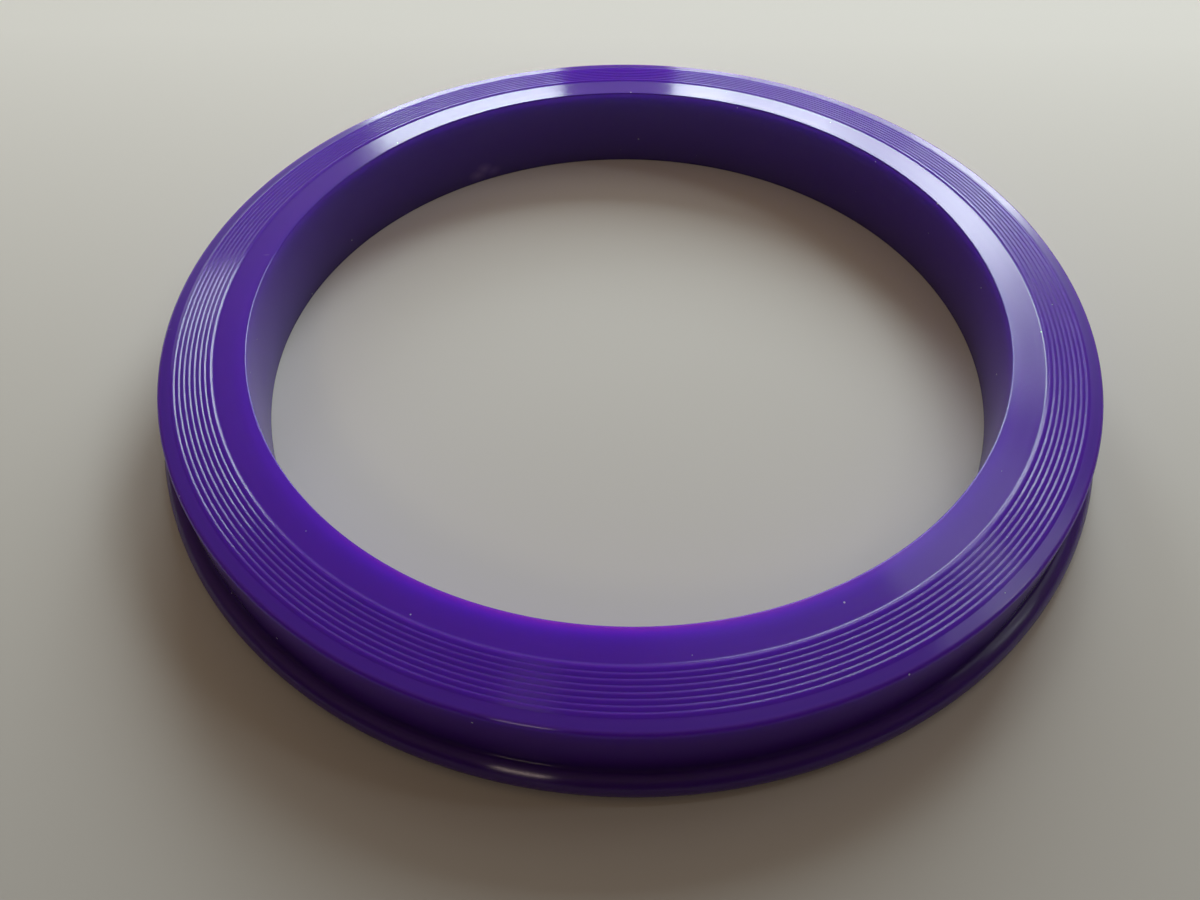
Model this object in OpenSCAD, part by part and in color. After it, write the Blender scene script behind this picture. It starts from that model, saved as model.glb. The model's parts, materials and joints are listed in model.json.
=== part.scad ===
// Hammer union seal ring: one turned ring of violet polyurethane.
// The ring stands on its flat back face, with its axis along +Z and the origin at the
// centre of that face. Lengths are in millimetres and angles in degrees.

/* [Body] */
// Diameter of the through bore
bore_d = 76.2; // [25:0.1:150]
// Radial width from the bore to the straight outer wall
body_w = 8.73; // [7:0.01:14]
// Height of the body at the bore's edge
body_h = 9.8; // [7:0.01:18]
// Rounding of the bore's two rims
bore_rim_r = 0.13; // [0.05:0.01:0.8]
// Rounding between the sealing face and the outer wall
outer_corner_r = 0.42; // [0.05:0.01:0.9]

/* [Sealing face] */
// Width of the smooth band around the bore, to the edge of the lip outside it
inner_band_w = 3.45; // [2:0.01:4]
// Outward fall of the inner band
inner_band_fall = 4.35; // [0:0.05:7]
// Height of the lip above the inner band
lip_h = 0.13; // [0.1:0.005:0.2]
// Radius of the hollow between the inner band and the lip's flank
cove_r = 0.4; // [0.1:0.01:0.5]
// Width of the lip's flat crest
lip_w = 0.131; // [0.05:0.001:0.3]
// Outward fall of the ridged cone
cone_fall = 8.25; // [0:0.25:20]
// Width of the smooth band outside the ridges
outer_band_w = 1.31; // [1:0.01:3]

/* [Ridges] */
// Radial distance from one ridge to the next, before they are evened out over the cone
ridge_pitch = 0.508; // [0.3:0.002:1.2]
// Height of the ridges above the cone
ridge_h = 0.09; // [0.05:0.005:0.12]
// Width of a ridge's flat crest
crest_w = 0.08; // [0.04:0.005:0.12]
// Width of a ridge's steep flank, on the side of the bore
inner_flank_w = 0.145; // [0.1:0.005:0.16]

/* [Bead] */
// Height of the round bead at the foot of the outer wall
bead_h = 2.65; // [1.5:0.01:4]
// How far the bead stands out from the outer wall
bead_out = 1.62; // [0.5:0.01:3]
// Fillet between the bead and the outer wall
bead_fillet_r = 0.25; // [0.1:0.01:1]

/* [Hidden] */
$fn = 180;
violet = [0.24, 0.09, 0.56];
// How far a rounding's circle passes its tangent lines, so that each arc meets them cleanly
blend = 0.0005;

// Radii of the section, from the bore outwards
bore_r = bore_d / 2;
lip_r = bore_r + inner_band_w;
lip_end_r = lip_r + lip_w;
wall_r = bore_r + body_w;
ridges_end_r = wall_r - outer_band_w;
bead_edge_r = wall_r + bead_out;

// Heights of the face's two slopes at a radius
function band_z(r) = body_h - (r - bore_r) * tan(inner_band_fall);
function cone_z(r) = band_z(lip_r) + lip_h - ridge_h - (r - lip_r) * tan(cone_fall);

// Centres of the face's two roundings, each tangent to the lines beside it
rim_x = bore_r + bore_rim_r;
rim_z = band_z(rim_x) - bore_rim_r / cos(inner_band_fall);
corner_x = wall_r - outer_corner_r;
corner_z = cone_z(corner_x) - outer_corner_r / cos(cone_fall);

// Ridges that fill the cone side by side, the lip being the first
ridge_zone_w = inner_flank_w + crest_w + ridges_end_r - lip_end_r;
ridge_count = max(2, round(ridge_zone_w / ridge_pitch));
ridge_step = ridge_zone_w / ridge_count;

// A point on the ridged face, at a height above the cone
function on_cone(r, h) = [r, cone_z(r) + h];

// The lip's flank, as steep as the ridges' flanks, and the hollow tangent to it and to the inner band
flank_rise = atan(ridge_h / inner_flank_w - tan(cone_fall));
flank_along = [cos(flank_rise), sin(flank_rise)];
band_along = [cos(inner_band_fall), -sin(inner_band_fall)];
band_normal = [sin(inner_band_fall), cos(inner_band_fall)];
cove_turn = flank_rise + inner_band_fall;
flank_foot = on_cone(lip_r, ridge_h) - lip_h * cos(inner_band_fall) / sin(cove_turn) * flank_along;
cove_reach = cove_r * tan(cove_turn / 2);
cove_start = flank_foot - cove_reach * band_along;
cove_end = flank_foot + cove_reach * flank_along;
cove = cove_start + cove_r * band_normal;

// The bead's round edge, and the fillet that is tangent to it and to the wall
bead_r = bead_h / 2;
bead_x = bead_edge_r - bead_r;
fillet_x = wall_r + bead_fillet_r;
fillet_reach = bead_r + bead_fillet_r;
fillet_lean = acos(max(0, fillet_x - bead_x) / fillet_reach);
fillet_z = bead_r + fillet_reach * sin(fillet_lean);
fillet_foot = [fillet_x, fillet_z] - bead_fillet_r * [cos(fillet_lean), sin(fillet_lean)];

// The section before it is cut: sharp corners, a bead too wide, hollow and fillet filled to their centres
module ring_outline() {
    ridges = [
        for (k = [1 : ridge_count - 1])
            let (crest_end = lip_end_r + k * ridge_step, crest_start = crest_end - crest_w)
                each [
                    on_cone(crest_start - inner_flank_w, 0),
                    on_cone(crest_start, ridge_h),
                    on_cone(crest_end, ridge_h)
                ]
    ];
    polygon([
        [bore_r, 0],
        [bore_r, body_h],
        cove_start,
        cove,
        cove_end,
        on_cone(lip_r, ridge_h),
        on_cone(lip_end_r, ridge_h),
        each ridges,
        on_cone(ridges_end_r, 0),
        on_cone(wall_r, 0),
        [wall_r, fillet_z],
        [fillet_x, fillet_z],
        fillet_foot,
        [bead_edge_r + bead_r, fillet_foot.y],
        [bead_edge_r + bead_r, 0]
    ]);
}

// What a corner loses to its rounding: a wedge between two directions, outside the circle
module corner_cut(x, z, r, from_angle, to_angle) {
    reach = 3 * r;
    middle = (from_angle + to_angle) / 2;
    translate([x, z]) difference() {
        polygon([
            [0, 0],
            reach * [cos(from_angle), sin(from_angle)],
            2 * reach * [cos(middle), sin(middle)],
            reach * [cos(to_angle), sin(to_angle)]
        ]);
        circle(r + blend);
    }
}

module ring_section() {
    difference() {
        ring_outline();
        translate(cove) circle(cove_r + blend);
        corner_cut(rim_x, bore_rim_r, bore_rim_r, 180, 270);
        corner_cut(rim_x, rim_z, bore_rim_r, 90 - inner_band_fall, 180);
        corner_cut(corner_x, corner_z, outer_corner_r, 0, 90 - cone_fall);
        corner_cut(bead_x, bead_r, bead_r, -90, fillet_lean);
        translate([fillet_x, fillet_z]) circle(bead_fillet_r + blend);
    }
}

module seal_ring() {
    color(violet) rotate_extrude() ring_section();
}

seal_ring();
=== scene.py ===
"""Looks of the hammer union seal ring: turned violet polyurethane on a plain pale floor."""
import json
import math

import bpy
from mathutils import Matrix, Vector


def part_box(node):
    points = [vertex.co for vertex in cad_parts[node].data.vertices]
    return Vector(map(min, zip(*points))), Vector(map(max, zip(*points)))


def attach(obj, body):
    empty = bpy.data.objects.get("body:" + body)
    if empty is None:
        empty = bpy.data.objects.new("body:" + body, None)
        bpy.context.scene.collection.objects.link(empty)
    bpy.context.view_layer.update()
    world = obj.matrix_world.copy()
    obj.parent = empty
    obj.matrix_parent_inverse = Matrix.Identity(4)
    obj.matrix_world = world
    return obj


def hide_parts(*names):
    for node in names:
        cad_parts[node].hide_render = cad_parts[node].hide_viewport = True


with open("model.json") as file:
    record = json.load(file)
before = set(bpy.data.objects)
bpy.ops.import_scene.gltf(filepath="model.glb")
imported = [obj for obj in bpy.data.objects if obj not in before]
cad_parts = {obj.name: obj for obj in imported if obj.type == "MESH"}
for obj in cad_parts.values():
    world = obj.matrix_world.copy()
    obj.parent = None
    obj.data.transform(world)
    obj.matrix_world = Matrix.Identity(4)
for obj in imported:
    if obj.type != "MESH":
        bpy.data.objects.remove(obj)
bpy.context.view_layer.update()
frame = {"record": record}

MM = 0.001


def mount_size(name, size):
    """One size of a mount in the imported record, in millimetres."""
    mount = next(m for m in frame["record"]["mounts"] if m["name"] == name)
    return mount["dims"][size]


# Section of the ring in millimetres and degrees: what the frame knows comes from it
box_low, box_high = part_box("seal_ring")
BOX_CLEARANCE = 0.001
BORE_R = mount_size("bore", "r_mm")
WALL_R = mount_size("outer_wall", "r_mm")
BEAD_EDGE_R = min(-box_low.x, box_high.x, -box_low.y, box_high.y) / MM - BOX_CLEARANCE
BODY_H = 9.8
BORE_RIM_R = 0.13
OUTER_CORNER_R = 0.42
INNER_BAND_W = 3.45
INNER_BAND_FALL = 4.35
LIP_W = 0.131
LIP_H = 0.13
COVE_R = 0.4
CONE_FALL = 8.25
OUTER_BAND_W = 1.31
RIDGE_H = 0.09
CREST_W = 0.08
INNER_FLANK_W = 0.145
BEAD_H = 2.65
BEAD_FILLET_R = 0.25

# Radii that follow from these, and the ridges, of which the lip is the first
LIP_R = BORE_R + INNER_BAND_W
LIP_END_R = LIP_R + LIP_W
RIDGES_END_R = WALL_R - OUTER_BAND_W
RIDGE_COUNT = 8
RIDGE_STEP = (INNER_FLANK_W + CREST_W + RIDGES_END_R - LIP_END_R) / RIDGE_COUNT
BEAD_R = BEAD_H / 2

# Fineness of the mesh: steps round the ring and along each stretch of the section
TURN_STEPS = 480
LOW_RIM_STEPS = 6
TOP_RIM_STEPS = 8
BAND_STEPS = 4
HOLLOW_STEPS = 8
RIDGE_STEPS = 1
CORNER_STEPS = 9
WALL_STEPS = 2
FILLET_STEPS = 7
BEAD_STEPS = 24
BACK_STEPS = 1

# How close the nearest point of a straight stretch lies to its end, in millimetres
SUPPORT = 0.03
RIDGE_SUPPORT = 0.014

# Colours of the ring
VIOLET_DEEP = (0.076, 0.0058, 0.415)
VIOLET_LIGHT = (0.097, 0.009, 0.475)
# Painted shade: a darker violet along the face's two edges
EDGE_SHADE_VIOLET = (0.066, 0.007, 0.42)
# Painted shade: a darker violet low on the wall and bead, weaker over the outer band
FOOT_SHADE = (0.049, 0.0105, 0.205)
# Painted sheen: a greyish violet on the bore wall
BORE_SHEEN = (0.1, 0.062, 0.28)
SCUFF = (0.36, 0.25, 0.62)
SPECK = (0.55, 0.52, 0.6)

# Surface of the ring, with lengths in millimetres
CLOUDS_PER_METRE = 70.0
SPECK_CELLS_PER_METRE = 900.0
TURNING_LINES_PER_MM = 2.6
TURNING_SWAY = 1.4
TURNING_DEPTH = 0.008
FINE_ROUGHNESS = 0.15
COARSE_ROUGHNESS = 0.195
GLOSS = 0.5
DULL_GLOSS = 0.2
GLOW_SCALE = 4.0
GLOW_RADIUS = (1.3, 0.8, 1.3)
EDGE_GLOW = 0.2

# Small scuffs: place, reach along each axis in millimetres, and strength
SCUFFS = {
    "bore_left": ((-19.6, 32.67, 1.1), (1.7, 1.1, 0.9), 0.5),
    "bore_middle": ((-18.8, 33.14, 1.7), (1.5, 0.9, 1.0), 0.5),
    "bore_right": ((-17.7, 33.74, 1.1), (1.3, 0.8, 0.8), 0.35),
    "inner_band": ((-38.6, 5.93, 9.73), (0.45, 0.13, 0.3), 0.25),
    "edge_spot": ((-46.5, -4.05, 8.7), (0.3, 0.14, 0.3), 0.35),
    "edge_line": ((-46.2, -4.8, 8.85), (0.5, 0.1, 0.3), 0.25),
}

# Floor, in metres; its colour darkens towards the front as painted shade
FLOOR_HALF = 3.0
FLOOR_FADE_FRONT = -0.062
FLOOR_FADE_BACK = 0.07
FLOOR_FRONT_SHADE = (0.46, 0.455, 0.435)
FLOOR_BACK = (0.86, 0.86, 0.83)

# Colours of the light and the room
DAYLIGHT = (0.88, 0.98, 1.0)
COOL_LIGHT = (0.9, 0.95, 1.0)
WARM_LIGHT = (1.0, 0.78, 0.66)
ROOM_LOW = (0.016, 0.012, 0.009)
ROOM_HIGH = (0.3, 0.215, 0.135)
ROOM_LEAN = (0.0, 0.6, 0.8)

# Upright panes behind the ring: left, right, bottom and top in metres, and radiance
PANES_FAR = 0.7
PANES = {
    "right_outer_low": (0.297, 0.464, 0.19, 0.37, 8.6),
    "right_outer_high": (0.297, 0.464, 0.37, 0.78, 10.2),
    "right_second": (0.2, 0.297, 0.23, 0.78, 7.2),
    "right_third": (0.098, 0.2, 0.23, 0.78, 10.6),
    "right_inner_low": (0.04, 0.098, 0.205, 0.335, 13.0),
    "right_inner_high": (0.04, 0.098, 0.335, 0.78, 9.0),
    "between_panes": (-0.066, 0.04, 0.25, 0.5, 0.7),
    "left_low": (-0.266, -0.066, 0.185, 0.345, 13.4),
    "left_high": (-0.266, -0.066, 0.345, 0.46, 4.4),
    "left_wall": (-0.85, -0.27, 0.2, 0.5, 0.35),
    "left_sill": (-1.2, -0.27, 0.0, 0.2, 1.1),
    "upper_wall": (0.037, 0.468, 0.78, 1.2, 0.6),
}

# Panels that face the ring: azimuth, elevation, distance, width, height, radiance and colour
PANELS = {
    "right_panel": (35, 52, 0.8, 0.22, 0.23, 1.6, COOL_LIGHT),
    "right_glint": (12, 47, 0.8, 0.05, 0.13, 10.0, COOL_LIGHT),
    "front_lamp": (250, 42, 0.6, 0.09, 0.1, 6.5, WARM_LIGHT),
}

# Camera, in metres, degrees and millimetres
CAMERA_PLACE = Vector((-0.00004, -0.07819, 0.08005))
CAMERA_YAW = -2.108
CAMERA_PITCH = 50.483
CAMERA_ROLL = 0.539
CAMERA_LENS = 30.49
CAMERA_NEAR = 0.005


# The section

def slope(fall):
    """Unit steps along a slope that falls outwards, and square to it, upwards."""
    turn = math.radians(fall)
    return Vector((math.cos(turn), -math.sin(turn))), Vector((math.sin(turn), math.cos(turn)))


def band_z(r):
    """Height of the smooth inner band at a radius."""
    return BODY_H - (r - BORE_R) * math.tan(math.radians(INNER_BAND_FALL))


def cone_z(r):
    """Height of the cone between the ridges at a radius."""
    return band_z(LIP_R) + LIP_H - RIDGE_H - (r - LIP_R) * math.tan(math.radians(CONE_FALL))


def on_cone(r, h):
    """A point on the ridged face, at a height above the cone."""
    return (r, cone_z(r) + h)


def arc(centre, radius, start, end, steps):
    """Points on an arc in the section, from one angle to another, in degrees."""
    angles = [math.radians(start + (end - start) * k / steps) for k in range(steps + 1)]
    return [(centre[0] + radius * math.cos(a), centre[1] + radius * math.sin(a)) for a in angles]


def line(start, end, steps, support=SUPPORT):
    """Evenly spaced points on a straight stretch, with a close one inside each end."""
    start = Vector(start)
    end = Vector(end)
    inset = support / (end - start).length
    shares = [inset + (1 - 2 * inset) * k / steps for k in range(steps + 1)]
    return [tuple(start.lerp(end, share)) for share in shares]


def hollow():
    """The arc between the inner band and the flank of the lip."""
    flank_slope = RIDGE_H / INNER_FLANK_W - math.tan(math.radians(CONE_FALL))
    flank_rise = math.degrees(math.atan(flank_slope))
    flank_along = slope(-flank_rise)[0]
    band_along, band_normal = slope(INNER_BAND_FALL)
    turn = math.radians(flank_rise + INNER_BAND_FALL)
    flank_length = LIP_H * math.cos(math.radians(INNER_BAND_FALL)) / math.sin(turn)
    flank_foot = Vector(on_cone(LIP_R, RIDGE_H)) - flank_length * flank_along
    centre = flank_foot - COVE_R * math.tan(turn / 2) * band_along + COVE_R * band_normal
    return arc(centre, COVE_R, -90 - INNER_BAND_FALL, -90 + flank_rise, HOLLOW_STEPS)


def ridge_corners():
    """The corners of the lip and the ridges, from the lip's inner edge to the outer band."""
    corners = [on_cone(LIP_R, RIDGE_H), on_cone(LIP_END_R, RIDGE_H)]
    for k in range(1, RIDGE_COUNT):
        crest_end = LIP_END_R + k * RIDGE_STEP
        crest_start = crest_end - CREST_W
        corners.append(on_cone(crest_start - INNER_FLANK_W, 0))
        corners.append(on_cone(crest_start, RIDGE_H))
        corners.append(on_cone(crest_end, RIDGE_H))
    return corners + [on_cone(RIDGES_END_R, 0)]


def sealing_face(start, end):
    """The face from the bore's rim to the outer corner: band, hollow, lip, ridges, outer band."""
    points = hollow()
    points = line(start, points[0], BAND_STEPS) + points
    for corner in ridge_corners():
        points += line(points[-1], corner, RIDGE_STEPS, RIDGE_SUPPORT) + [corner]
    return points + line(points[-1], end, BAND_STEPS)


def ring_section():
    """The closed outline of the ring: up the bore, out over the face, down the wall and bead."""
    rim_x = BORE_R + BORE_RIM_R
    rim_z = band_z(rim_x) - BORE_RIM_R / math.cos(math.radians(INNER_BAND_FALL))
    corner_x = WALL_R - OUTER_CORNER_R
    corner_z = cone_z(corner_x) - OUTER_CORNER_R / math.cos(math.radians(CONE_FALL))
    bead_x = BEAD_EDGE_R - BEAD_R
    fillet_x = WALL_R + BEAD_FILLET_R
    fillet_z = BEAD_H + BEAD_FILLET_R
    low_rim = arc((rim_x, BORE_RIM_R), BORE_RIM_R, 270, 180, LOW_RIM_STEPS)
    top_rim = arc((rim_x, rim_z), BORE_RIM_R, 180, 90 - INNER_BAND_FALL, TOP_RIM_STEPS)
    corner = arc((corner_x, corner_z), OUTER_CORNER_R, 90 - CONE_FALL, 0, CORNER_STEPS)
    fillet = arc((fillet_x, fillet_z), BEAD_FILLET_R, 180, 270, FILLET_STEPS)
    bead = arc((bead_x, BEAD_R), BEAD_R, 90, -90, BEAD_STEPS)
    points = low_rim + line(low_rim[-1], top_rim[0], WALL_STEPS) + top_rim
    points += sealing_face(top_rim[-1], corner[0])
    points += corner + line(corner[-1], fillet[0], WALL_STEPS) + fillet + bead
    return points + line(bead[-1], low_rim[0], BACK_STEPS)


def turned_mesh(name, section):
    """A closed section in millimetres, turned once round the Z axis."""
    count = len(section)
    corners = []
    for k in range(TURN_STEPS):
        angle = 2 * math.pi * k / TURN_STEPS
        ahead = (math.cos(angle) * MM, math.sin(angle) * MM)
        corners += [(r * ahead[0], r * ahead[1], z * MM) for r, z in section]
    faces = []
    for k in range(TURN_STEPS):
        here = k * count
        there = (k + 1) % TURN_STEPS * count
        for i in range(count):
            j = (i + 1) % count
            faces.append((here + i, here + j, there + j, there + i))
    mesh = bpy.data.meshes.new(name)
    mesh.from_pydata(corners, [], faces)
    mesh.shade_smooth()
    return mesh


# Shader nodes

def add(tree, kind, **settings):
    """A new shader node with its settings."""
    made = tree.nodes.new("ShaderNode" + kind)
    for name, value in settings.items():
        setattr(made, name, value)
    return made


def plug(tree, socket, value):
    """Links an input to another node's output, or sets it to a plain value."""
    if isinstance(value, bpy.types.NodeSocket):
        tree.links.new(value, socket)
    else:
        socket.default_value = value


def feed(tree, target, **inputs):
    """Sets or links a node's inputs by name; an underscore stands for a space."""
    for name, value in inputs.items():
        plug(tree, target.inputs[name.replace("_", " ")], value)
    return target


def math_node(tree, operation, first, second):
    """The result of one sum on two values or sockets."""
    made = add(tree, "Math", operation=operation)
    plug(tree, made.inputs[0], first)
    plug(tree, made.inputs[1], second)
    return made.outputs[0]


def vector_node(tree, operation, *vectors):
    """The outputs of one sum on vectors or vector sockets."""
    made = add(tree, "VectorMath", operation=operation)
    for socket, vector in zip(made.inputs, vectors):
        plug(tree, socket, vector)
    return made.outputs


def parts_of(tree, vector):
    """The X, Y and Z of a vector socket."""
    made = add(tree, "SeparateXYZ")
    plug(tree, made.inputs[0], vector)
    return made.outputs


def between(tree, value, low, high, to_low, to_high):
    """A value moved from one range to another, held at its ends."""
    made = add(tree, "MapRange")
    feed(tree, made, Value=value, From_Min=low, From_Max=high, To_Min=to_low, To_Max=to_high)
    return made.outputs[0]


def across(tree, place, start, end, at_start, at_end):
    """A value that changes evenly between two places, given in millimetres."""
    return between(tree, place, start * MM, end * MM, at_start, at_end)


def blend_colours(tree, share, first, second):
    """A mix of a colour or colour socket with a second colour."""
    made = add(tree, "Mix", data_type="RGBA")
    plug(tree, made.inputs[0], share)
    plug(tree, made.inputs[6], (*first, 1.0) if isinstance(first, tuple) else first)
    plug(tree, made.inputs[7], (*second, 1.0))
    return made.outputs[2]


def blank_material(name):
    """A material with an empty node tree, and that tree."""
    material = bpy.data.materials.new(name)
    material.use_nodes = True
    material.node_tree.nodes.clear()
    return material, material.node_tree


# Masks on the ring

def ring_place(tree, place):
    """Distance from the axis, height, and direction from the axis, of a place."""
    flat = vector_node(tree, "MULTIPLY", place, (1, 1, 0))["Vector"]
    radius = vector_node(tree, "LENGTH", flat)["Value"]
    around = vector_node(tree, "NORMALIZE", flat)["Vector"]
    return radius, parts_of(tree, place)["Z"], around


def turning_noise(tree, radius, height, around):
    """Noise in fine rings round the axis, which changes slowly on the way round."""
    turn = parts_of(tree, around)
    along = math_node(tree, "ADD", radius, height)
    spot = feed(
        tree,
        add(tree, "CombineXYZ"),
        X=math_node(tree, "MULTIPLY", along, TURNING_LINES_PER_MM / MM),
        Y=math_node(tree, "MULTIPLY", turn["X"], TURNING_SWAY),
        Z=math_node(tree, "MULTIPLY", turn["Y"], TURNING_SWAY),
    )
    noise = feed(tree, add(tree, "TexNoise"), Vector=spot.outputs[0], Scale=1.0, Detail=4.0, Roughness=0.6)
    return noise.outputs["Fac"]


def dust(tree, place):
    """A mask of tiny specks, sparse and of uneven size."""
    cells = feed(tree, add(tree, "TexVoronoi"), Vector=place, Scale=SPECK_CELLS_PER_METRE)
    pick = add(tree, "SeparateColor")
    plug(tree, pick.inputs[0], cells.outputs["Color"])
    reach = between(tree, pick.outputs["Red"], 0.86, 1.0, 0.0, 0.1)
    inside = math_node(tree, "SUBTRACT", reach, cells.outputs["Distance"])
    return between(tree, inside, 0.0, 0.02, 0.0, 0.75)


def scuff(tree, place, spot, reach, strength):
    """A soft mask round one spot, with its reach along each axis, in millimetres."""
    offset = vector_node(tree, "SUBTRACT", place, [value * MM for value in spot])["Vector"]
    scaled = vector_node(tree, "DIVIDE", offset, [value * MM for value in reach])["Vector"]
    far = vector_node(tree, "LENGTH", scaled)["Value"]
    return between(tree, far, 0.0, 1.0, strength, 0.0)


def scuffs(tree, place):
    """A mask of the small scuffs: low on the bore wall, on the inner band and on the outer edge."""
    marks = [scuff(tree, place, *mark) for mark in SCUFFS.values()]
    joined = marks[0]
    for mark in marks[1:]:
        joined = math_node(tree, "MAXIMUM", joined, mark)
    return joined


def face_edges(tree, radius, height):
    """A mask of the face along its two edges, where less light comes out from within, and where the colour
    is darkened as painted shade.
    """
    inner = across(tree, radius, BORE_R + 0.05, BORE_R + 0.7, 1.0, 0.0)
    inner_top = across(tree, height, BODY_H - 0.25, BODY_H - 0.12, 0.0, 1.0)
    outer = across(tree, radius, WALL_R - 1.5, WALL_R - 0.6, 0.0, 1.0)
    outer_end = across(tree, radius, WALL_R - 0.6, WALL_R - 0.25, 1.0, 0.0)
    first = math_node(tree, "MULTIPLY", inner, inner_top)
    second = math_node(tree, "MULTIPLY", outer, outer_end)
    return math_node(tree, "MAXIMUM", first, second)


def bore_sheen(tree, radius, height):
    """A mask of a painted grey sheen on the bore wall, stronger towards the floor."""
    inside = across(tree, radius, BORE_R + 0.02, BORE_R + 0.1, 1.0, 0.0)
    low = across(tree, height, 1.0, BODY_H, 1.0, 0.15)
    return math_node(tree, "MULTIPLY", inside, low)


def foot_shade(tree, radius, height):
    """A mask of painted shade on the outer band, wall and bead, stronger towards the foot."""
    outside = across(tree, radius, WALL_R - 1.5, WALL_R - 0.9, 0.0, 1.0)
    low = across(tree, height, 3.5, 7.6, 1.0, 0.35)
    return math_node(tree, "MULTIPLY", outside, low)


def dull_wall(tree, radius, height):
    """A mask of the duller outer wall, down to the crease above the bead."""
    outside = across(tree, radius, WALL_R - 0.1, WALL_R, 0.0, 1.0)
    above_bead = across(tree, height, 2.5, 2.62, 0.0, 1.0)
    below_corner = across(tree, height, 7.0, 8.3, 1.0, 0.9)
    wall = math_node(tree, "MULTIPLY", above_bead, below_corner)
    return math_node(tree, "MULTIPLY", wall, outside)


# Materials

def polyurethane():
    """Deep violet polyurethane: light enters a little way, and fine turning lines stretch the gloss."""
    material, tree = blank_material("violet_polyurethane")
    place = add(tree, "TexCoord").outputs["Object"]
    radius, height, around = ring_place(tree, place)
    clouds = feed(tree, add(tree, "TexNoise"), Vector=place, Scale=CLOUDS_PER_METRE, Detail=3.0)
    lines = turning_noise(tree, radius, height, around)
    edges = face_edges(tree, radius, height)
    sheen_mask = bore_sheen(tree, radius, height)
    specks = dust(tree, place)
    dull = math_node(tree, "MAXIMUM", sheen_mask, dull_wall(tree, radius, height))
    violet = blend_colours(tree, clouds.outputs["Fac"], VIOLET_DEEP, VIOLET_LIGHT)
    # Painted shade: the face's edges get a darker violet, which dims their glow
    edge_shaded = blend_colours(tree, edges, violet, EDGE_SHADE_VIOLET)
    # Painted shade: the wall and bead darken towards the foot, and the outer band a little
    foot_shaded = blend_colours(tree, foot_shade(tree, radius, height), edge_shaded, FOOT_SHADE)
    # Painted sheen: the bore wall turns a greyish violet, strongest low down
    sheened = blend_colours(tree, sheen_mask, foot_shaded, BORE_SHEEN)
    scuffed = blend_colours(tree, scuffs(tree, place), sheened, SCUFF)
    roughness = between(tree, lines, 0.3, 0.7, FINE_ROUGHNESS, COARSE_ROUGHNESS)
    bump = feed(tree, add(tree, "Bump"), Strength=1.0, Distance=TURNING_DEPTH * MM, Height=lines)
    tangent = add(tree, "Tangent", direction_type="RADIAL", axis="Z")
    shader = feed(
        tree,
        add(tree, "BsdfPrincipled"),
        Base_Color=blend_colours(tree, specks, scuffed, SPECK),
        Roughness=math_node(tree, "MAXIMUM", roughness, specks),
        IOR=1.5,
        Specular_IOR_Level=between(tree, dull, 0.0, 1.0, GLOSS, DULL_GLOSS),
        Anisotropic=1.0,
        Anisotropic_Rotation=0.25,
        Subsurface_Weight=between(tree, edges, 0.0, 1.0, 1.0, EDGE_GLOW),
        Subsurface_Radius=GLOW_RADIUS,
        Subsurface_Scale=GLOW_SCALE * MM,
        Normal=bump.outputs[0],
        Tangent=tangent.outputs[0],
    )
    feed(tree, add(tree, "OutputMaterial"), Surface=shader.outputs[0])
    return material


def floor_material():
    """A plain pale matt floor, lighter towards the back, with painted shade darkening its colour towards
    the front.
    """
    material, tree = blank_material("pale_floor")
    place = parts_of(tree, add(tree, "TexCoord").outputs["Object"])
    # Painted shade: the floor's colour darkens towards the front
    back = between(tree, place["Y"], FLOOR_FADE_FRONT, FLOOR_FADE_BACK, 0.0, 1.0)
    shader = feed(
        tree,
        add(tree, "BsdfPrincipled"),
        Base_Color=blend_colours(tree, back, FLOOR_FRONT_SHADE, FLOOR_BACK),
        Roughness=0.9,
        Specular_IOR_Level=0.2,
    )
    feed(tree, add(tree, "OutputMaterial"), Surface=shader.outputs[0])
    return material


# The ring

def show(name, data):
    """A new object in the scene."""
    made = bpy.data.objects.new(name, data)
    bpy.context.scene.collection.objects.link(made)
    return made


def make_ring():
    """The visible ring, in the place of its solid."""
    mesh = turned_mesh("polyurethane_ring", ring_section())
    mesh.materials.append(polyurethane())
    ring = show("polyurethane_ring", mesh)
    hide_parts("seal_ring")
    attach(ring, "root")


# Stage, light and camera

def make_floor():
    """A wide flat floor under the ring."""
    half = FLOOR_HALF
    corners = [(-half, -half, 0), (half, -half, 0), (half, half, 0), (-half, half, 0)]
    mesh = bpy.data.meshes.new("floor")
    mesh.from_pydata(corners, [], [(0, 1, 2, 3)])
    mesh.materials.append(floor_material())
    floor = show("floor", mesh)


def area_lamp(name, width, height, radiance, colour):
    """A flat lamp of an even brightness over its face."""
    data = bpy.data.lights.new(name, "AREA")
    data.shape = "RECTANGLE"
    data.size = width
    data.size_y = height
    data.energy = radiance * math.pi * width * height
    data.color = colour
    return show(name, data)


def add_pane(name, left, right, bottom, top, radiance):
    """An upright pane in a plane behind the ring, which faces the camera's side."""
    lamp = area_lamp(name, right - left, top - bottom, radiance, DAYLIGHT)
    lamp.location = ((left + right) / 2, PANES_FAR, (bottom + top) / 2)
    lamp.rotation_euler = (math.radians(-90), 0, 0)


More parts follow.
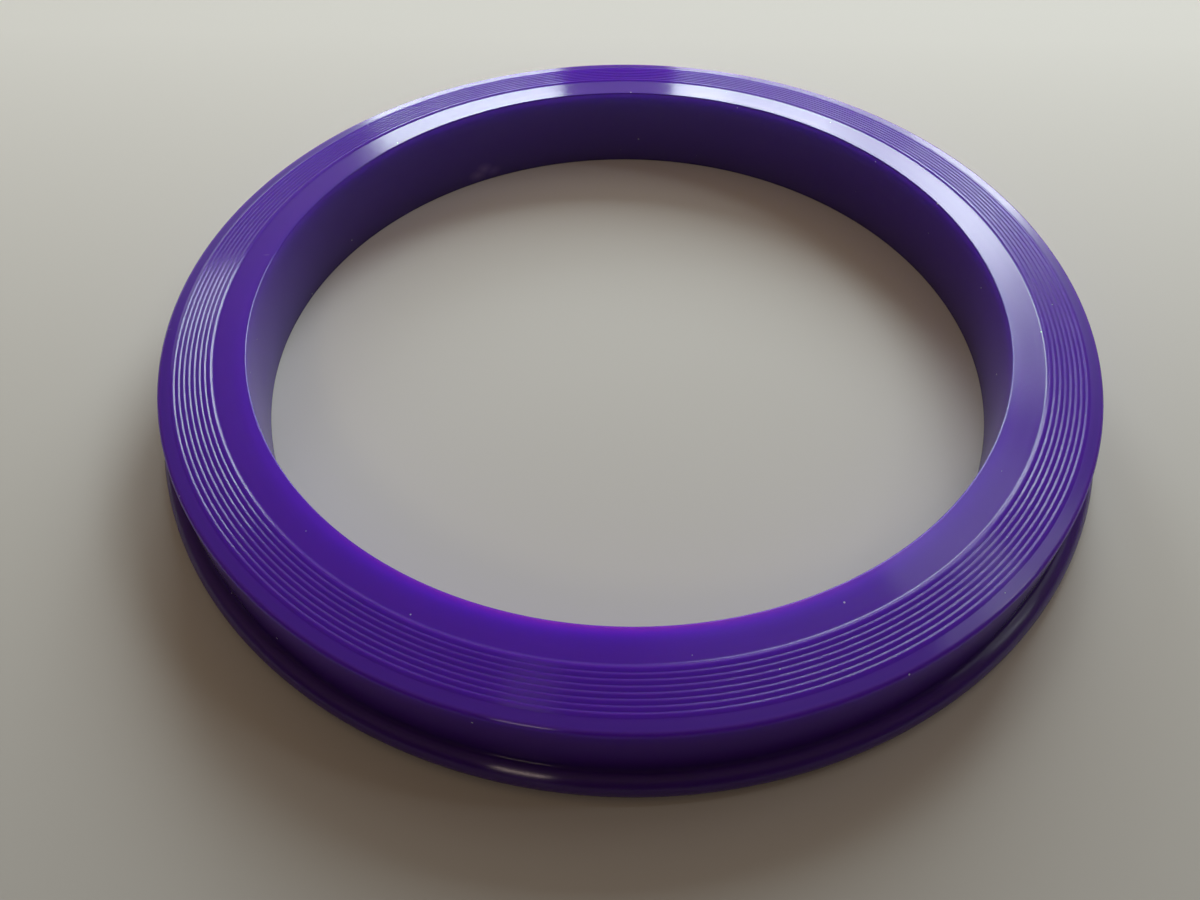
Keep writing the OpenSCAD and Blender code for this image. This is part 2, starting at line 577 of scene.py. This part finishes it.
def toward(azimuth, elevation, far):
    """A place in a direction from the ring, given in degrees, at a distance."""
    turn = math.radians(azimuth)
    rise = math.radians(elevation)
    flat = math.cos(rise) * far
    return Vector((math.cos(turn) * flat, math.sin(turn) * flat, math.sin(rise) * far))


def add_panel(name, azimuth, elevation, far, width, height, radiance, colour):
    """A panel that faces the ring from one direction."""
    centre = toward(azimuth, elevation, far)
    lamp = area_lamp(name, width, height, radiance, colour)
    lamp.location = centre
    lamp.rotation_euler = (-centre).to_track_quat("-Z", "Y").to_euler()


def make_lights():
    """Daylight panes with dim walls around them, two panels at the right, and a warm lamp in front."""
    for name, pane in PANES.items():
        add_pane(name, *pane)
    for name, panel in PANELS.items():
        add_panel(name, *panel)


def make_world():
    """A dim warm room, darkest low in front, where the camera stands."""
    world = bpy.data.worlds.new("room")
    world.use_nodes = True
    tree = world.node_tree
    tree.nodes.clear()
    direction = add(tree, "TexCoord").outputs["Generated"]
    lean = vector_node(tree, "DOT_PRODUCT", direction, ROOM_LEAN)["Value"]
    share = between(tree, lean, -0.1, 0.95, 0.0, 1.0)
    colour = blend_colours(tree, share, ROOM_LOW, ROOM_HIGH)
    room = feed(tree, add(tree, "Background"), Color=colour, Strength=1.0)
    feed(tree, add(tree, "OutputWorld"), Surface=room.outputs[0])
    bpy.context.scene.world = world


def make_camera():
    """The photograph's camera: above the front, looking down over the ring."""
    yaw = math.radians(CAMERA_YAW)
    pitch = math.radians(CAMERA_PITCH)
    ahead = Vector((math.sin(yaw) * math.cos(pitch), math.cos(yaw) * math.cos(pitch), -math.sin(pitch)))
    level = Vector((math.cos(yaw), -math.sin(yaw), 0.0))
    level.rotate(Matrix.Rotation(math.radians(CAMERA_ROLL), 3, ahead))
    up = level.cross(ahead)
    data = bpy.data.cameras.new("camera")
    data.lens = CAMERA_LENS
    data.clip_start = CAMERA_NEAR
    camera = show("camera", data)
    turn = Matrix((level, up, -ahead)).transposed()
    camera.matrix_world = Matrix.Translation(CAMERA_PLACE) @ turn.to_4x4()
    bpy.context.scene.camera = camera


make_camera()
make_ring()
make_floor()
make_lights()
make_world()
bpy.context.scene.view_settings.view_transform = "Standard"
